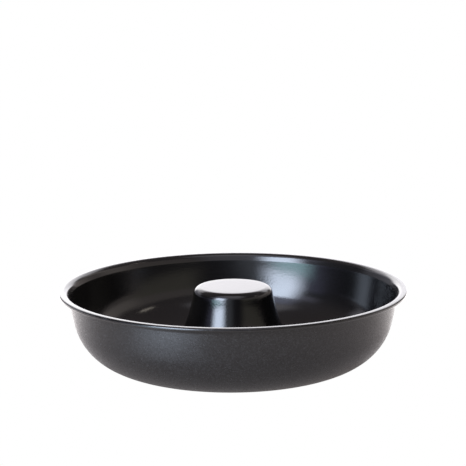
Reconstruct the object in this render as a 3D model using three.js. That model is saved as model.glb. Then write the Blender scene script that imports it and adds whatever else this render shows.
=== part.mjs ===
// Ring cake pan: a drawn steel bowl with a wired rim, and a closed centre cone whose foot
// is hooked into the bowl's floor by a folded lock seam.
// Millimetres, +Z up, origin on the table under the middle of the pan.
import * as THREE from "three";

// Sheet steel
const SHEET = 0.6; // thickness of the bowl and of the cone
const SEAM_CLEARANCE = 0.15; // between the folded layers of the lock seam

// Bowl
const RIM_DIAMETER = 280; // over the rolled edge
const PAN_HEIGHT = 61.5; // table to the top of the rim
const RIM_LAND = 3; // flat flange between the lip and the rolled edge
const RIM_DEPTH = 6.3; // top of the rim to where the wall begins
const LIP_RADIUS = 3; // where the flange turns down into the lip, food side
const LIP_LEAN = 22; // degrees from upright, of the cone between the flange and the wall
const LIP_FOOT_RADIUS = 2; // where the lip runs into the wall
const WALL_TOP_LEAN = 6; // degrees from upright, under the lip
const WALL_FOOT_LEAN = 14.5; // degrees from upright, where the bowed wall meets the corner
const CORNER_RADIUS = 43.4; // large curve from the wall to the floor, food side
const STANDING_WIDTH = 5; // narrowest flat ring that the pan may stand on

// Rim wire and the edge that is rolled round it
const WIRE_DIAMETER = 1.5;
const WIRE_CLEARANCE = 0.15;
const ROLL_TUCK = 0.35; // how far the end of the roll stops below the sheet over it

// Centre cone
const CONE_TOP_DIAMETER = 52.4; // flat part of the closed top
const CONE_EDGE_RADIUS = 6;
const CONE_TOP_LEAN = 9; // degrees from upright, under the edge
const CONE_FOOT_LEAN = 20; // degrees from upright, from the end of the bow down
const CONE_BOW_FALL = 23.4; // height over which the side bows from one lean to the other
const CONE_DROP = 0.5; // how far the cone's top lies below the rim
const CONE_FOOT_RADIUS = 6; // bend that stands the cone's foot upright

// Lock seam between the cone's foot and the floor
const SEAM_WIDTH = 4; // length of the bowl's folded-back edge
const HOOK_END_GAP = 0.25; // past the bowl's folded edge, inside the cone's fold
const HOOK_TIP_GAP = 0.75; // from the tip of the cone's hook to the axis of the bowl's fold
const FOOT_ABOVE_TABLE = 0.5; // the seam hangs clear of what the pan stands on
const SEAM_MARGIN = 0.8; // flat floor between the seam and the ramp
const RAMP_SLOPE = 35; // degrees, where the floor climbs to the seam
const RAMP_RADIUS = 5; // lower bend of that ramp

// Facets
const TURN_STEPS = 60; // round the pan
const ROLL_STEPS = 9;
const LIP_STEPS = 3;
const LIP_FOOT_STEPS = 1;
const BOW_STEPS = 2;
const CORNER_STEPS = 7;
const RAMP_STEPS = 3;
const FOLD_STEPS = 4;
const CONE_EDGE_STEPS = 4;
const CONE_BOW_STEPS = 3;
const FOOT_STEPS = 2;
const WIRE_SIDES = 8;

const { degToRad, radToDeg } = THREE.MathUtils;
const sinOf = (degrees) => Math.sin(degToRad(degrees));
const cosOf = (degrees) => Math.cos(degToRad(degrees));
const tanOf = (degrees) => Math.tan(degToRad(degrees));

// A sheet seen edge on, as a run of straight and bent stretches in the plane of radius and height.
// The pen draws the food side. The other side lies one sheet thickness to its left or right.
class SheetSection {
  constructor({ radius, height, heading, bodyOn }) {
    this.pen = new THREE.Vector2(radius, height);
    this.heading = heading;
    this.bodySign = bodyOn === "left" ? 1 : -1;
    this.foodSide = [];
    this.backSide = [];
    this.mark();
  }

  // Unit vector to the left of the pen.
  left() {
    return new THREE.Vector2(-sinOf(this.heading), cosOf(this.heading));
  }

  mark() {
    this.foodSide.push(this.pen.clone());
    this.backSide.push(this.pen.clone().addScaledVector(this.left(), this.bodySign * SHEET));
  }

  straight(length) {
    this.pen.x += length * cosOf(this.heading);
    this.pen.y += length * sinOf(this.heading);
    this.mark();
    return this;
  }

  // Bends to the left for a positive turn, at this radius on the food side.
  bend(radius, turn, steps) {
    const side = Math.sign(turn);
    const centre = this.pen.clone().addScaledVector(this.left(), side * radius);
    for (let step = 0; step < steps; step++) {
      this.heading += turn / steps;
      this.pen.copy(centre).addScaledVector(this.left(), -side * radius);
      this.mark();
    }
    return this;
  }

  // The closed outline, turned round the pan's axis.
  revolve() {
    const outline = [...this.foodSide, ...this.backSide.toReversed()];
    if (this.bodySign < 0) outline.reverse();
    outline.push(outline[0].clone());
    return new THREE.LatheGeometry(outline, TURN_STEPS).rotateX(Math.PI / 2);
  }
}

// Rolled edge
const wireRadius = WIRE_DIAMETER / 2;
const rollRadius = wireRadius + WIRE_CLEARANCE + SHEET;
const rollAxisRadius = RIM_DIAMETER / 2 - rollRadius;
const rollHeight = PAN_HEIGHT - rollRadius;
const rollEndHeight = rollRadius - SHEET - ROLL_TUCK;
const rollWrap = 270 + radToDeg(Math.asin(rollEndHeight / rollRadius));

// Lock seam, from the top: floor, cone's hook, bowl's folded edge, cone's flange
const layer = SHEET + SEAM_CLEARANCE;
const seamTop = FOOT_ABOVE_TABLE + 3 * layer + SHEET;
const bowlFoldRadius = (2 * layer + SHEET) / 2;
const hookFoldRadius = layer - SHEET / 2;

// Centre cone, from its top down to where its foot stands upright beside the bowl's fold
const coneTop = PAN_HEIGHT - CONE_DROP;
const coneEdgeDrop = CONE_EDGE_RADIUS * (1 - sinOf(CONE_TOP_LEAN));
const coneBowTurn = CONE_FOOT_LEAN - CONE_TOP_LEAN;
const coneBowRadius = CONE_BOW_FALL / (sinOf(CONE_FOOT_LEAN) - sinOf(CONE_TOP_LEAN));
const footBendDrop = CONE_FOOT_RADIUS * sinOf(CONE_FOOT_LEAN);
const coneSideDrop = coneTop - coneEdgeDrop - CONE_BOW_FALL - footBendDrop - seamTop;
const footRadius =
  CONE_TOP_DIAMETER / 2 +
  CONE_EDGE_RADIUS * cosOf(CONE_TOP_LEAN) +
  CONE_BOW_FALL * tanOf((CONE_TOP_LEAN + CONE_FOOT_LEAN) / 2) +
  coneSideDrop * tanOf(CONE_FOOT_LEAN) +
  CONE_FOOT_RADIUS * (1 - cosOf(CONE_FOOT_LEAN));

// Where the bowl's inner edge folds, and how far the flat land over the seam reaches from there
const foldAxisRadius = footRadius + SEAM_CLEARANCE + bowlFoldRadius;
const flangeLength = SEAM_WIDTH + HOOK_END_GAP;
const hookLength = flangeLength - HOOK_TIP_GAP;
const seamLand = flangeLength + hookFoldRadius + SHEET + SEAM_MARGIN;

// Ramp between the standing ring and the seam's land
const rampRise = seamTop - SHEET;
const rampBends = rampRise / (1 - cosOf(RAMP_SLOPE));
const rampLowerRadius = Math.min(RAMP_RADIUS, rampBends / 2);
const rampUpperRadius = rampBends - rampLowerRadius;
const rampRun = rampBends * sinOf(RAMP_SLOPE);
const rampFootRadius = foldAxisRadius + seamLand + rampRun;

// Lip, from the flange down to the wall
const lipDrop = LIP_RADIUS * (1 - sinOf(LIP_LEAN));
const lipFootDrop = LIP_FOOT_RADIUS * (sinOf(LIP_LEAN) - sinOf(WALL_TOP_LEAN));
const lipLength = (RIM_DEPTH - lipDrop - lipFootDrop) / cosOf(LIP_LEAN);
const lipFootRun = LIP_FOOT_RADIUS * (cosOf(WALL_TOP_LEAN) - cosOf(LIP_LEAN));
const lipRun = LIP_RADIUS * cosOf(LIP_LEAN) + lipLength * sinOf(LIP_LEAN) + lipFootRun;

// Wall, bowed from the lip down to the corner. The corner is never larger than the bow,
// and leaves room for a ring to stand on.
const wallTopRadius = rollAxisRadius - RIM_LAND - lipRun;
const wallTopHeight = PAN_HEIGHT - RIM_DEPTH;
const wallFall = wallTopHeight - SHEET;
const bowRunPerFall = tanOf((WALL_TOP_LEAN + WALL_FOOT_LEAN) / 2);
const cornerFallPerRadius = 1 - sinOf(WALL_FOOT_LEAN);
const cornerRunPerRadius = cosOf(WALL_FOOT_LEAN);
const cornerRoom = wallTopRadius - wallFall * bowRunPerFall - rampFootRadius - STANDING_WIDTH;
const cornerRadius = Math.min(
  CORNER_RADIUS,
  wallFall / (1 - sinOf(WALL_TOP_LEAN)),
  cornerRoom / (cornerRunPerRadius - cornerFallPerRadius * bowRunPerFall),
);
const bowFall = wallFall - cornerRadius * cornerFallPerRadius;
const bowTurn = WALL_FOOT_LEAN - WALL_TOP_LEAN;
const bowRadius = bowFall / (sinOf(WALL_FOOT_LEAN) - sinOf(WALL_TOP_LEAN));
const floorRadius = wallTopRadius - bowFall * bowRunPerFall - cornerRadius * cornerRunPerRadius;
const standingWidth = floorRadius - rampFootRadius;

// The bowl is drawn from the tucked end of its rolled edge, over the rim, down and in to its folded edge.
function outerBowl() {
  const rollStart = 90 - rollWrap;
  const section = new SheetSection({
    radius: rollAxisRadius + rollRadius * cosOf(rollStart),
    height: rollHeight + rollRadius * sinOf(rollStart),
    heading: rollStart + 90,
    bodyOn: "left",
  });
  return section
    .bend(rollRadius, rollWrap, ROLL_STEPS)
    .straight(RIM_LAND)
    .bend(LIP_RADIUS, 90 - LIP_LEAN, LIP_STEPS)
    .straight(lipLength)
    .bend(LIP_FOOT_RADIUS, LIP_LEAN - WALL_TOP_LEAN, LIP_FOOT_STEPS)
    .bend(bowRadius, -bowTurn, BOW_STEPS)
    .bend(cornerRadius, WALL_FOOT_LEAN - 90, CORNER_STEPS)
    .straight(standingWidth)
    .bend(rampLowerRadius, -RAMP_SLOPE, RAMP_STEPS)
    .bend(rampUpperRadius, RAMP_SLOPE, RAMP_STEPS)
    .straight(seamLand)
    .bend(bowlFoldRadius, 180, FOLD_STEPS)
    .straight(SEAM_WIDTH)
    .revolve();
}

// The cone is drawn from the middle of its closed top, down its side and round into its hook.
function centreCone() {
  const section = new SheetSection({ radius: 0, height: coneTop, heading: 0, bodyOn: "right" });
  return section
    .straight(CONE_TOP_DIAMETER / 2)
    .bend(CONE_EDGE_RADIUS, CONE_TOP_LEAN - 90, CONE_EDGE_STEPS)
    .bend(coneBowRadius, coneBowTurn, CONE_BOW_STEPS)
    .straight(coneSideDrop / cosOf(CONE_FOOT_LEAN))
    .bend(CONE_FOOT_RADIUS, -CONE_FOOT_LEAN, FOOT_STEPS)
    .straight(bowlFoldRadius)
    .bend(bowlFoldRadius + SEAM_CLEARANCE, 90, FOOT_STEPS)
    .straight(flangeLength)
    .bend(hookFoldRadius, 180, FOLD_STEPS)
    .straight(hookLength)
    .revolve();
}

// The wire that stiffens the rim, inside the rolled edge.
function rimWire() {
  return new THREE.TorusGeometry(rollAxisRadius, wireRadius, WIRE_SIDES, TURN_STEPS);
}

// Finishes
const coatedBowl = new THREE.MeshStandardMaterial({ color: 0x2c2d2f, roughness: 0.42, metalness: 0.3 });
const coatedCone = new THREE.MeshStandardMaterial({ color: 0x17171a, roughness: 0.22, metalness: 0.2 });
const brightSteel = new THREE.MeshStandardMaterial({ color: 0xa6a8ab, roughness: 0.35, metalness: 1 });

function piece(name, geometry, material) {
  const mesh = new THREE.Mesh(geometry, material);
  mesh.name = name;
  return mesh;
}

const pan = new THREE.Group();
const wire = piece("rim_wire", rimWire(), brightSteel);
wire.position.z = rollHeight;
pan.add(piece("outer_bowl", outerBowl(), coatedBowl));
pan.add(piece("centre_cone", centreCone(), coatedCone));
pan.add(wire);

export default pan;
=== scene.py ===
from math import asin, cos, degrees, pi, radians, sin, tan

import bmesh
import bpy
from mathutils import Euler, Matrix, Quaternion, Vector


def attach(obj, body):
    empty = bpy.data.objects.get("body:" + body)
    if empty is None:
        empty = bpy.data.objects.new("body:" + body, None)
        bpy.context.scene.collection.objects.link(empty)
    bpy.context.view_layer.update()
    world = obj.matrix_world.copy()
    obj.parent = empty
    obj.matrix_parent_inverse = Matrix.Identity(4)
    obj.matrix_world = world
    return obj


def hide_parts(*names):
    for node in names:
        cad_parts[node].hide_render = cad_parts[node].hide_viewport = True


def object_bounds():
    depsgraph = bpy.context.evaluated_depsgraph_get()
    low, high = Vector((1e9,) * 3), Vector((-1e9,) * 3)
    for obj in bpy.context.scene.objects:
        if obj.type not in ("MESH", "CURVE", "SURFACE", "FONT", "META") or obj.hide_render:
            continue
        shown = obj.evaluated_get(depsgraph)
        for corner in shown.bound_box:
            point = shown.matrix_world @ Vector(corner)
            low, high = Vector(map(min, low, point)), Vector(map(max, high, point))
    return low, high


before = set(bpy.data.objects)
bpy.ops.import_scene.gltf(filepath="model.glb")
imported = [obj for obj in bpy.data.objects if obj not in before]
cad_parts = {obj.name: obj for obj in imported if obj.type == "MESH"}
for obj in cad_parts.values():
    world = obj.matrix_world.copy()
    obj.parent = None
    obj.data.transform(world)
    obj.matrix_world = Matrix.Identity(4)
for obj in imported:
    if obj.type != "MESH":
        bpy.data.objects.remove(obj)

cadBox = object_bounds()
scene = bpy.context.scene
mm = 0.001
cadSides = [round(side / mm, 1) for side in cadBox[1] - cadBox[0]]
print("Ring cake pan: solids loaded, box", cadSides, "mm")


# Shader values

class Flow:  # a socket on its way through a node tree
    def __init__(self, tree, socket=None):
        self.tree = tree
        self.socket = socket

    def node(self, kind, settings={}, sockets={}, out=0):
        made = self.tree.nodes.new(kind)
        for name, value in settings.items():
            setattr(made, name, value)
        for name, value in sockets.items():
            if isinstance(value, Flow):
                self.tree.links.new(value.socket, made.inputs[name])
            else:
                made.inputs[name].default_value = value
        return Flow(self.tree, made.outputs[out] if made.outputs else None)

    def math(self, operation, *terms):
        return self.node("ShaderNodeMath", {"operation": operation}, dict(enumerate(terms)))

    def __add__(self, other):
        return self.math("ADD", self, other)

    def __radd__(self, other):
        return self.math("ADD", other, self)

    def __sub__(self, other):
        return self.math("SUBTRACT", self, other)

    def __rsub__(self, other):
        return self.math("SUBTRACT", other, self)

    def __mul__(self, other):
        return self.math("MULTIPLY", self, other)

    def __rmul__(self, other):
        return self.math("MULTIPLY", other, self)

    def __pow__(self, other):
        return self.math("POWER", self, other)

    def __rpow__(self, other):
        return self.math("POWER", other, self)

    def __abs__(self):
        return self.math("ABSOLUTE", self)


def fade(value, start, end):  # 0 before start, 1 after end
    ends = {"Value": value, "From Min": start, "From Max": end}
    return value.node("ShaderNodeMapRange", {"interpolation_type": "SMOOTHSTEP"}, ends)


def band(value, centre, half, soft):  # 1 near centre, 0 past half
    return 1 - fade(abs(value - centre), half - soft, half + soft)


def mixColour(factor, first, second):
    colours = [(*shade, 1) if isinstance(shade, tuple) else shade for shade in (first, second)]
    sockets = {0: factor, 6: colours[0], 7: colours[1]}  # the node's colour sockets go by number
    return factor.node("ShaderNodeMix", {"data_type": "RGBA"}, sockets, 2)


def splitVector(vector):
    return [vector.node("ShaderNodeSeparateXYZ", {}, {0: vector}, side) for side in "XYZ"]


def panPlace(flow):  # object coordinates, and the distance from the pan's axis
    place = flow.node("ShaderNodeTexCoord", out="Object")
    x, y, height = splitVector(place)
    return place, x, y, height, (x * x + y * y) ** 0.5


def cloud(place, scale, detail=3.0, rough=0.55):
    sockets = {"Vector": place, "Scale": scale, "Detail": detail, "Roughness": rough}
    return place.node("ShaderNodeTexNoise", {}, sockets)


def turnedLines(x, y, height, radius, along, across, detail, rough):  # marks that run round the pan
    angle = x.math("ARCTAN2", y, x)
    sockets = {0: angle * along, 1: radius * across, 2: height * across}
    return cloud(x.node("ShaderNodeCombineXYZ", {}, sockets), 1, detail, rough)


def bump(height, depth, strength, under={}):
    sockets = {"Height": height, "Distance": depth, "Strength": strength, **under}
    return height.node("ShaderNodeBump", {}, sockets)


def newFinish(name):
    finish = bpy.data.materials.new(name)
    finish.use_nodes = True
    finish.node_tree.nodes.clear()
    return finish, Flow(finish.node_tree)


def closeFinish(flow, **sockets):  # Base_Color stands for the socket Base Color
    named = {name.replace("_", " "): value for name, value in sockets.items()}
    skin = flow.node("ShaderNodeBsdfPrincipled", {}, named)
    flow.node("ShaderNodeOutputMaterial", {}, {"Surface": skin})


# Finishes

# a scale is marks in each metre, and an edge is where in the noise a mark begins and is full
glossCoat = {
    "shade": (0.001, 0.0009, 0.001),
    "paleShade": (0.0019, 0.0018, 0.0019),
    "wornShade": (0.03, 0.03, 0.031),
    "ior": 1.5,
    "roughness": 0.1,
    "cloudRoughness": 0.04,
    "strokeRoughness": 0.05,
    "wornRoughness": 0.06,
    "pitRoughness": 0.05,
    "cloudScale": 26,
    "cloudEdge": (0.35, 0.7),
    "strokeAlong": 5,
    "strokeAcross": 1900,
    "strokeEdge": (0.6, 0.74),
    "peelScale": 700,  # ripples of the sprayed coat
    "peelDepth": 0.06 * mm,
    "pitScale": 2300,
    "pitDepth": 0.012 * mm,
    "bumpStrength": 0.6,
    "wornRadius": 138.5 * mm,  # on the crown of the rolled edge
    "wornHalf": 2.2 * mm,
    "wornSoft": 1.2 * mm,
    "wornRise": (57.5 * mm, 61.5 * mm),
    "wornScale": 150,
    "wornEdge": (0.5, 0.72),
    "wornShare": 0.5,
    "bowlHaze": 0.19,  # soft bloom of the polymer over the sharp gloss
    "coneHaze": 0.07,
    "hazeRoughness": 0.42,
}


def glossBlackCoat(name, haze):  # non-stick coat on the food side and over the rim
    finish, flow = newFinish(name)
    place, x, y, height, radius = panPlace(flow)
    drift = cloud(place, glossCoat["cloudScale"])
    peel = cloud(place, glossCoat["peelScale"], detail=2)
    pits = cloud(place, glossCoat["pitScale"], detail=1)
    strokes = turnedLines(
        x, y, height, radius, glossCoat["strokeAlong"], glossCoat["strokeAcross"], detail=4, rough=0.7
    )
    strokes = fade(strokes, *glossCoat["strokeEdge"])
    worn = band(radius, glossCoat["wornRadius"], glossCoat["wornHalf"], glossCoat["wornSoft"])
    worn = worn * fade(height, *glossCoat["wornRise"])
    worn = worn * fade(cloud(place, glossCoat["wornScale"]), *glossCoat["wornEdge"])
    pale = fade(drift, *glossCoat["cloudEdge"])
    shade = mixColour(pale, glossCoat["shade"], glossCoat["paleShade"])
    shade = mixColour(worn * glossCoat["wornShare"], shade, glossCoat["wornShade"])
    roughness = glossCoat["roughness"] + glossCoat["cloudRoughness"] * (drift - 0.5)
    roughness = roughness + glossCoat["strokeRoughness"] * strokes + glossCoat["wornRoughness"] * worn
    roughness = roughness + glossCoat["pitRoughness"] * (pits - 0.5)
    ripple = bump(peel, glossCoat["peelDepth"], glossCoat["bumpStrength"])
    skin = bump(pits, glossCoat["pitDepth"], glossCoat["bumpStrength"], {"Normal": ripple})
    closeFinish(
        flow, Base_Color=shade, Roughness=roughness, Normal=skin, IOR=glossCoat["ior"],
        Coat_Weight=haze, Coat_Roughness=glossCoat["hazeRoughness"], Coat_IOR=glossCoat["ior"],
    )
    return finish


satinCoat = {
    "shade": (0.004, 0.0038, 0.0038),
    "flakeShade": (0.024, 0.0235, 0.024),
    "scrapedShade": (0.11, 0.11, 0.115),
    "ior": 1.5,
    "roughness": 0.34,
    "cloudRoughness": 0.07,
    "flakeRoughness": 0.16,
    "scrapedGloss": 0.1,
    "cloudScale": 18,
    "flakeScale": 1500,
    "flakeEdge": (0.55, 1.0),
    "flakeShare": 0.65,
    "flakeRelief": 0.5,  # against the mottle's
    "flakeDepth": 0.05 * mm,
    "mottleScale": 560,
    "mottleEdge": (0.4, 0.75),
    "mottleShare": 0.35,
    "bumpStrength": 0.5,
    "standRadius": 74.65 * mm,  # middle of the ring that the pan stands on
    "standHalf": 13 * mm,
    "standSoft": 3 * mm,
    "standRise": (0.2 * mm, 1.2 * mm),
    "scrapeAlong": 3,
    "scrapeAcross": 900,
    "scrapeEdge": (0.52, 0.7),
    "scrapeShare": 0.7,
}


def satinGreyCoat():  # outside and underneath
    finish, flow = newFinish("satin_grey_flake")
    place, x, y, height, radius = panPlace(flow)
    cells = {"Vector": place, "Scale": satinCoat["flakeScale"]}
    tint = flow.node("ShaderNodeTexVoronoi", {}, cells, "Color")
    flake = flow.node("ShaderNodeSeparateColor", {}, {0: tint}, "Red")
    tilt = flow.node("ShaderNodeSeparateColor", {}, {0: tint}, "Green")
    mottle = cloud(place, satinCoat["mottleScale"], rough=0.7)
    drift = cloud(place, satinCoat["cloudScale"])
    glint = fade(flake, *satinCoat["flakeEdge"]) * satinCoat["flakeShare"]
    glint = glint + fade(mottle, *satinCoat["mottleEdge"]) * satinCoat["mottleShare"]
    shade = mixColour(glint, satinCoat["shade"], satinCoat["flakeShade"])
    stand = band(radius, satinCoat["standRadius"], satinCoat["standHalf"], satinCoat["standSoft"])
    stand = stand * (1 - fade(height, *satinCoat["standRise"]))
    scrape = turnedLines(
        x, y, height, radius, satinCoat["scrapeAlong"], satinCoat["scrapeAcross"], detail=4, rough=0.75
    )
    scrape = stand * fade(scrape, *satinCoat["scrapeEdge"])
    shade = mixColour(scrape * satinCoat["scrapeShare"], shade, satinCoat["scrapedShade"])
    roughness = satinCoat["roughness"] + satinCoat["cloudRoughness"] * (drift - 0.5)
    roughness = roughness + satinCoat["flakeRoughness"] * (tilt - 0.5) - satinCoat["scrapedGloss"] * scrape
    grain = flake * satinCoat["flakeRelief"] + mottle
    skin = bump(grain, satinCoat["flakeDepth"], satinCoat["bumpStrength"])
    closeFinish(flow, Base_Color=shade, Roughness=roughness, Normal=skin, IOR=satinCoat["ior"])
    return finish


bareSteel = {
    "shade": (0.36, 0.365, 0.375),
    "darkShade": (0.2, 0.2, 0.205),
    "roughness": 0.34,
    "lineRoughness": 0.22,
    "stainRoughness": 0.1,
    "stainScale": 240,
    "stainEdge": (0.4, 0.75),
    "lineDepth": 0.01 * mm,
    "bumpStrength": 0.4,
    "edgeLines": (40, 1500),  # along and across
    "wireLines": (4, 5200),
}


def drawnSteel(name, along, across):  # cut edges of the sheet, and the wire
    finish, flow = newFinish(name)
    place, x, y, height, radius = panPlace(flow)
    lines = turnedLines(x, y, height, radius, along, across, detail=3, rough=0.6)
    stain = cloud(place, bareSteel["stainScale"])
    shade = mixColour(fade(stain, *bareSteel["stainEdge"]), bareSteel["shade"], bareSteel["darkShade"])
    roughness = bareSteel["roughness"] + bareSteel["lineRoughness"] * (lines - 0.5)
    roughness = roughness + bareSteel["stainRoughness"] * (stain - 0.5)
    skin = bump(lines, bareSteel["lineDepth"], bareSteel["bumpStrength"])
    closeFinish(flow, Base_Color=shade, Roughness=roughness, Metallic=1.0, Normal=skin)
    return finish


bowlBlack = glossBlackCoat("gloss_black_bowl", glossCoat["bowlHaze"])
coneBlack = glossBlackCoat("gloss_black_cone", glossCoat["coneHaze"])
satinGrey = satinGreyCoat()
cutSteel = drawnSteel("cut_sheet_edge", *bareSteel["edgeLines"])
wireSteel = drawnSteel("drawn_wire", *bareSteel["wireLines"])
print("Finishes mixed: gloss black, satin grey, bare steel")


# Sheet metal

pan = {"rimRadius": 140 * mm, "height": 61.5 * mm}

sheet = {
    "thickness": 0.6 * mm,
    "turnSteps": 192,
    "mergeGap": 0.001 * mm,
    "edgeRound": 0.08 * mm,
    "edgeSegments": 2,
    "edgeAngle": 55,  # corners sharper than this are cut edges
}


class SheetPen:  # draws a sheet's food side, edge on, in the plane of radius and height
    def __init__(self, radius, height, heading):
        self.mesh = bmesh.new()
        self.tip = self.mesh.verts.new((radius, 0, height))
        self.heading = heading  # degrees: 0 is outwards, 90 is up

    def straight(self, length, cuts=1):
        ahead = radians(self.heading)
        step = Vector((cos(ahead), 0, sin(ahead))) * length / cuts
        for cut in range(cuts):
            self.tip = bmesh.ops.extrude_vert_indiv(self.mesh, verts=[self.tip])["verts"][0]
            bmesh.ops.translate(self.mesh, verts=[self.tip], vec=step)

    def bend(self, radius, turn, steps):  # to the left for a positive turn
        inwards = radians(self.heading + (90 if turn > 0 else -90))
        centre = self.tip.co + Vector((cos(inwards), 0, sin(inwards))) * radius
        made = bmesh.ops.spin(
            self.mesh, geom=[self.tip], cent=centre, axis=(0, -1, 0),
            angle=radians(turn), steps=steps, use_duplicate=False,
        )
        self.tip = [part for part in made["geom_last"] if isinstance(part, bmesh.types.BMVert)][0]
        self.heading += turn


def turnRound(mesh):  # a full turn about the pan's axis
    bmesh.ops.spin(
        mesh, geom=mesh.verts[:] + mesh.edges[:], cent=(0, 0, 0), axis=(0, 0, 1),
        angle=2 * pi, steps=sheet["turnSteps"], use_merge=True, use_duplicate=False,
    )
    bmesh.ops.remove_doubles(mesh, verts=mesh.verts[:], dist=sheet["mergeGap"])
    bmesh.ops.recalc_face_normals(mesh, faces=mesh.faces[:])
    for face in mesh.faces:
        face.smooth = True


def meshObject(mesh, name, finishes):
    data = bpy.data.meshes.new(name)
    mesh.to_mesh(data)
    mesh.free()
    for finish in finishes:
        data.materials.append(finish)
    made = bpy.data.objects.new(name, data)
    scene.collection.objects.link(made)
    return made


def placePiece(mesh, name, finishes, node):
    piece = meshObject(mesh, name, finishes)
    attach(piece, "root")
    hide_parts(node)
    return piece


def turnSheet(pen, levelSpot, gloss, name, node):
    mesh = pen.mesh
    turnRound(mesh)
    level = min(mesh.faces, key=lambda face: (face.calc_center_median() - Vector(levelSpot)).length)
    if level.normal.z < 0:  # the food side looks up here
        bmesh.ops.reverse_faces(mesh, faces=mesh.faces[:])
    piece = placePiece(mesh, name, [gloss, satinGrey, cutSteel], node)
    wall = piece.modifiers.new("sheet thickness", "SOLIDIFY")
    wall.thickness = sheet["thickness"]
    wall.offset = -1
    wall.use_even_offset = True
    wall.use_quality_normals = True
    wall.material_offset = 1
    wall.material_offset_rim = 2
    edge = piece.modifiers.new("cut edges", "BEVEL")
    edge.width = sheet["edgeRound"]
    edge.segments = sheet["edgeSegments"]
    edge.limit_method = "ANGLE"
    edge.angle_limit = radians(sheet["edgeAngle"])
    return piece


# Lock seam, from the top: bowl's floor, cone's hook, bowl's folded edge, cone's flange

seam = {
    "gap": 0.15 * mm,
    "width": 4 * mm,
    "hookEndGap": 0.25 * mm,
    "hookTipGap": 0.75 * mm,
    "aboveTable": 0.5 * mm,
    "margin": 0.8 * mm,  # flat floor between the seam and the ramp
}

layer = sheet["thickness"] + seam["gap"]
seamTop = seam["aboveTable"] + 3 * layer + sheet["thickness"]
bowlFold = (2 * layer + sheet["thickness"]) / 2
hookFold = layer - sheet["thickness"] / 2
flangeLength = seam["width"] + seam["hookEndGap"]


# Cone with a closed top, from its middle down to the hook; leans are degrees from upright

cone = {
    "drop": 0.5 * mm,  # of its top below the rim
    "topRadius": 26.2 * mm,
    "edgeRadius": 6 * mm,
    "topLean": 9,
    "footLean": 20,
    "bowFall": 23.4 * mm,
    "footBend": 6 * mm,
}

coneTopLean, coneFootLean = radians(cone["topLean"]), radians(cone["footLean"])
coneTop = pan["height"] - cone["drop"]
coneBowRadius = cone["bowFall"] / (sin(coneFootLean) - sin(coneTopLean))
coneEnds = cone["edgeRadius"] * (1 - sin(coneTopLean)) + cone["footBend"] * sin(coneFootLean)
coneSideDrop = coneTop - seamTop - cone["bowFall"] - coneEnds
coneFootRadius = (
    cone["topRadius"]
    + cone["edgeRadius"] * cos(coneTopLean)
    + coneBowRadius * (cos(coneTopLean) - cos(coneFootLean))
    + coneSideDrop * tan(coneFootLean)
    + cone["footBend"] * (1 - cos(coneFootLean))
)


def drawCone():
    pen = SheetPen(0, coneTop, 0)
    pen.straight(cone["topRadius"], cuts=4)
    pen.bend(cone["edgeRadius"], cone["topLean"] - 90, steps=14)
    pen.bend(coneBowRadius, cone["footLean"] - cone["topLean"], steps=8)
    pen.straight(coneSideDrop / cos(coneFootLean), cuts=4)
    pen.bend(cone["footBend"], -cone["footLean"], steps=5)
    pen.straight(bowlFold)
    pen.bend(bowlFold + seam["gap"], 90, steps=8)
    pen.straight(flangeLength)
    pen.bend(hookFold, 180, steps=12)
    pen.straight(flangeLength - seam["hookTipGap"])
    levelSpot = (cone["topRadius"] / 2, 0, coneTop)
    return turnSheet(pen, levelSpot, coneBlack, "cone_sheet", "centre_cone")


# Wire in the rolled rim

wire = {"radius": 0.75 * mm, "gap": 0.15 * mm, "sides": 20}

rollRadius = wire["radius"] + wire["gap"] + sheet["thickness"]
rollAxis = pan["rimRadius"] - rollRadius
rollLevel = pan["height"] - rollRadius


def drawWire():
    mesh = bmesh.new()
    made = bmesh.ops.create_circle(mesh, cap_ends=False, radius=wire["radius"], segments=wire["sides"])
    ring = made["verts"]
    bmesh.ops.rotate(mesh, verts=ring, cent=(0, 0, 0), matrix=Matrix.Rotation(pi / 2, 3, "X"))
    bmesh.ops.translate(mesh, verts=ring, vec=(rollAxis, 0, rollLevel))
    turnRound(mesh)
    return placePiece(mesh, "rim_wire_ring", [wireSteel], "rim_wire")


# Bowl: rolled rim, lip, bowed wall, corner, standing ring, and the floor up to its folded edge

bowl = {
    "rollTuck": 0.35 * mm,
    "rimLand": 2 * mm,
    "rimDepth": 6.3 * mm,
    "lipRadius": 4.48 * mm,
    "lipLean": 22,
    "lipFoot": 2 * mm,
    "wallTopLean": 8,
    "wallFootLean": 13,
    "cornerRadius": 43.4 * mm,
    "rampSlope": 35,
    "rampRadius": 5 * mm,
}


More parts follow.
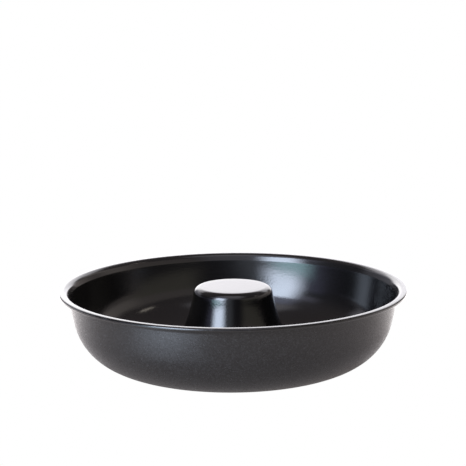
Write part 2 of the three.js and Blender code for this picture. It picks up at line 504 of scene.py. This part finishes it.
def drawBowl():
    rollEnd = rollRadius - sheet["thickness"] - bowl["rollTuck"]
    wrap = 270 + degrees(asin(rollEnd / rollRadius))
    start = radians(90 - wrap)

    lipLean, topLean, footLean = (radians(bowl[name]) for name in ("lipLean", "wallTopLean", "wallFootLean"))
    lipEnds = bowl["lipRadius"] * (1 - sin(lipLean)) + bowl["lipFoot"] * (sin(lipLean) - sin(topLean))
    lipLength = (bowl["rimDepth"] - lipEnds) / cos(lipLean)
    lipRun = bowl["lipRadius"] * cos(lipLean) + bowl["lipFoot"] * (cos(topLean) - cos(lipLean))
    wallTop = rollAxis - bowl["rimLand"] - lipRun - lipLength * sin(lipLean)
    wallFall = pan["height"] - bowl["rimDepth"] - sheet["thickness"]
    bowFall = wallFall - bowl["cornerRadius"] * (1 - sin(footLean))
    bowRadius = bowFall / (sin(footLean) - sin(topLean))
    wallRun = bowRadius * (cos(topLean) - cos(footLean))
    floorRadius = wallTop - wallRun - bowl["cornerRadius"] * cos(footLean)

    foldAxis = coneFootRadius + seam["gap"] + bowlFold
    seamLand = flangeLength + hookFold + sheet["thickness"] + seam["margin"]
    rampBends = (seamTop - sheet["thickness"]) / (1 - cos(radians(bowl["rampSlope"])))
    rampFoot = foldAxis + seamLand + rampBends * sin(radians(bowl["rampSlope"]))

    pen = SheetPen(rollAxis + rollRadius * cos(start), rollLevel + rollRadius * sin(start), 180 - wrap)
    pen.bend(rollRadius, wrap, steps=30)  # rolled edge
    pen.straight(bowl["rimLand"], cuts=2)
    pen.bend(bowl["lipRadius"], 90 - bowl["lipLean"], steps=14)
    pen.straight(lipLength, cuts=3)
    pen.bend(bowl["lipFoot"], bowl["lipLean"] - bowl["wallTopLean"], steps=5)
    pen.bend(bowRadius, bowl["wallTopLean"] - bowl["wallFootLean"], steps=8)  # bowed wall
    pen.bend(bowl["cornerRadius"], bowl["wallFootLean"] - 90, steps=28)
    pen.straight(floorRadius - rampFoot, cuts=3)  # standing ring
    pen.bend(bowl["rampRadius"], -bowl["rampSlope"], steps=6)
    pen.bend(rampBends - bowl["rampRadius"], bowl["rampSlope"], steps=8)
    pen.straight(seamLand)
    pen.bend(bowlFold, 180, steps=12)  # folded edge
    pen.straight(seam["width"])
    levelSpot = ((floorRadius + rampFoot) / 2, 0, sheet["thickness"])
    return turnSheet(pen, levelSpot, bowlBlack, "bowl_sheet", "outer_bowl")


bowlSheet = drawBowl()
coneSheet = drawCone()
wireRing = drawWire()
print("Pieces turned:", ", ".join(piece.name for piece in (bowlSheet, coneSheet, wireRing)))


# Studio

studio = {
    "seenShade": (1.0, 1.0, 1.0),  # plain white round the pan from any side
    "ambient": (0.09, 0.085, 0.095),
    "ceiling": (0.27, 0.235, 0.24),
    "ceilingRise": (15, 45),
    # name: degrees to the left of the camera, half width, soft edge, height, half height, soft edge, light
    "panels": {
        "frontCove": (15, 42, 12, 54, 26, 6, (0.8, 0.77, 0.86)),
        "topCove": (10, 60, 12, 66, 14, 6, (1.4, 1.35, 1.45)),
        "coolSide": (92, 26, 14, 2, 6, 5, (0.2, 0.19, 0.28)),
        "coolCove": (62, 12, 8, 32, 5, 3, (0.75, 0.73, 0.95)),
        "coolWall": (60, 13, 9, 6, 11, 6, (0.46, 0.46, 0.72)),
        "warmWall": (-60, 34, 12, 16, 9.5, 1.5, (0.48, 0.45, 0.38)),
        "warmCove": (-62, 36, 12, 26, 7.5, 3.5, (0.6, 0.53, 0.51)),
        "warmSide": (-112, 28, 10, 22, 7.5, 4, (0.86, 0.77, 0.73)),
        "warmBack": (-118, 42, 10, 4, 9, 5, (0.5, 0.44, 0.42)),
        "coolBack": (128, 22, 8, 7, 8, 4, (0.4, 0.4, 0.46)),
        "coolLip": (140, 24, 6, 22, 7, 4, (1.0, 0.98, 1.1)),
        "lamp": (-88, 8, 3, 41, 1.2, 0.8, (3.4, 3.1, 2.7)),
        "softboxHaze": (40, 18, 10, 44, 8, 4, (1.5, 1.6, 2.2)),
        "softboxTail": (16, 13, 10, 14, 11, 5, (0.6, 0.64, 0.72)),
        "softbox": (39, 14, 9.5, 22.2, 15.3, 2.5, (13.2, 15.1, 18.3)),
        "softboxFoot": (45, 14, 10, 0.5, 6.2, 1.8, (4.0, 6.6, 7.3)),
        "backdropHead": (180, 44, 6, 31, 7, 4, (2.1, 2.05, 2.15)),
        "backdrop": (180, 26, 7, 14, 13, 3, (2.65, 2.6, 2.7)),
        "backdropLeft": (167, 9, 5, 14, 12, 4, (3.4, 3.35, 3.4)),
    },
}


def lightStudio():
    world = bpy.data.worlds.new("studio")
    world.use_nodes = True
    world.node_tree.nodes.clear()
    scene.world = world
    flow = Flow(world.node_tree)
    x, y, up = splitVector(flow.node("ShaderNodeTexCoord", out="Generated"))
    turn = flow.math("ARCTAN2", 0 - x, 0 - y) * degrees(1)  # 0 towards the camera, 90 to its left
    height = flow.math("ARCSINE", up) * degrees(1)
    light = mixColour(fade(height, *studio["ceilingRise"]), studio["ambient"], studio["ceiling"])
    for side, half, soft, level, halfLevel, softLevel, shine in studio["panels"].values():
        offset = flow.math("WRAP", turn - side, 180, -180)
        mask = band(offset, 0, half, soft) * band(height, level, halfLevel, softLevel)
        light = mixColour(mask, light, shine)
    seen = flow.node("ShaderNodeLightPath", out="Is Camera Ray")
    light = mixColour(seen, light, studio["seenShade"])
    back = flow.node("ShaderNodeBackground", {}, {"Color": light, "Strength": 1.0})
    flow.node("ShaderNodeOutputWorld", {}, {"Surface": back})


paper = {
    "radius": 60.0,
    "sides": 96,
    "gap": 0.05 * mm,  # under the pan
    "shade": (0.2, 0.195, 0.19),
    "darkShade": (0.192, 0.1872, 0.1824),
    "cloudScale": 40,
    "roughness": 0.12,
    "ior": 1.6,
    # painted shadow: the floor glows less near the pan, as if the pan shaded it
    "paintedShadowGlow": (0.38, 0.342, 0.338),
    "farGlow": (0.74, 0.665, 0.66),
    "paintedShadowReach": (90 * mm, 260 * mm),  # from the pan's axis
    # painted backlight: the floor behind the pan glows brightly, as if lit from the back
    "paintedBacklightGlow": (3.0, 2.85, 2.8),
    "paintedBacklightReach": (-50 * mm, 250 * mm),  # from front to back
    "paintedBacklightSideReach": (60 * mm, 125 * mm),  # from the middle to either side
    "paintedPoolGlow": (2.5, 2.75, 3.2),  # painted pool of the softbox's light, glowing on the floor at the front left
    "paintedPool": (-140 * mm, -190 * mm),
    "paintedPoolHalf": 50 * mm,
    "paintedPoolSoft": 45 * mm,
}


# Floor paper whose glow is painted light: painted shade near the pan, a painted backlight behind it and a
# painted pool of softbox light
def paintedLightPaper():
    finish, flow = newFinish("paper_with_painted_light")
    place, x, y, height, radius = panPlace(flow)
    shade = mixColour(cloud(place, paper["cloudScale"]), paper["shade"], paper["darkShade"])
    # painted shade of the pan, glowing dimmer near its axis and brighter further out
    glow = mixColour(fade(radius, *paper["paintedShadowReach"]), paper["paintedShadowGlow"], paper["farGlow"])
    # painted backlight glowing on the floor behind the pan
    paintedBacklight = fade(y, *paper["paintedBacklightReach"]) * fade(abs(x), *paper["paintedBacklightSideReach"])
    glow = mixColour(paintedBacklight, glow, paper["paintedBacklightGlow"])
    # painted pool of softbox light glowing on the floor
    paintedPoolX, paintedPoolY = paper["paintedPool"]
    away = ((x - paintedPoolX) ** 2 + (y - paintedPoolY) ** 2) ** 0.5
    glow = mixColour(band(away, 0, paper["paintedPoolHalf"], paper["paintedPoolSoft"]), glow, paper["paintedPoolGlow"])
    # the painted light glows from the paper as emission; camera rays see plain white instead
    glossy = flow.node("ShaderNodeBsdfPrincipled", {}, {
        "Base Color": shade, "Roughness": paper["roughness"], "IOR": paper["ior"],
        "Emission Color": glow, "Emission Strength": 1.0,
    })
    white = flow.node("ShaderNodeEmission", {}, {"Color": (*studio["seenShade"], 1), "Strength": 1.0})
    clear = flow.node("ShaderNodeBsdfTransparent")
    seen = flow.node("ShaderNodeLightPath", out="Is Camera Ray")  # burnt out to white, as the background is
    look = flow.node("ShaderNodeMixShader", {}, {0: seen, 1: glossy, 2: white})
    below = flow.node("ShaderNodeNewGeometry", out="Backfacing")  # clear from below, to show the underside
    look = flow.node("ShaderNodeMixShader", {}, {0: below, 1: look, 2: clear})
    flow.node("ShaderNodeOutputMaterial", {}, {"Surface": look})
    return finish


def layFloor():
    mesh = bmesh.new()
    made = bmesh.ops.create_circle(mesh, cap_ends=True, radius=paper["radius"], segments=paper["sides"])
    bmesh.ops.translate(mesh, verts=made["verts"], vec=(0, 0, -paper["gap"]))
    floor = meshObject(mesh, "studio_floor", [paintedLightPaper()])


lightStudio()
layFloor()
scene.view_settings.view_transform = "Standard"
print("Studio lit:", ", ".join(studio["panels"]))


# Camera

shot = {
    "distance": 1000 * mm,  # to the middle of the rim
    "elevation": 12.57,
    "pitch": 10.15,
    "roll": -0.47,
    "aside": 0.35 * mm,
    "focalPixels": 1235.5,
    "imagePixels": 466,
    "filmWidth": 36,
    "farClip": 200,  # metres
}


def setCamera():
    data = bpy.data.cameras.new("shot")
    data.sensor_width = shot["filmWidth"]
    data.lens = shot["focalPixels"] / shot["imagePixels"] * shot["filmWidth"]
    data.clip_end = shot["farClip"]
    camera = bpy.data.objects.new("shot", data)
    scene.collection.objects.link(camera)
    rise = radians(shot["elevation"])
    camera.location = (
        shot["aside"], -shot["distance"] * cos(rise), pan["height"] + shot["distance"] * sin(rise)
    )
    aim = Euler((radians(90 - shot["pitch"]), 0, 0)).to_quaternion()
    camera.rotation_euler = (aim @ Quaternion((0, 0, 1), radians(shot["roll"]))).to_euler()
    scene.camera = camera


setCamera()
print("Camera set at", shot["elevation"], "degrees")
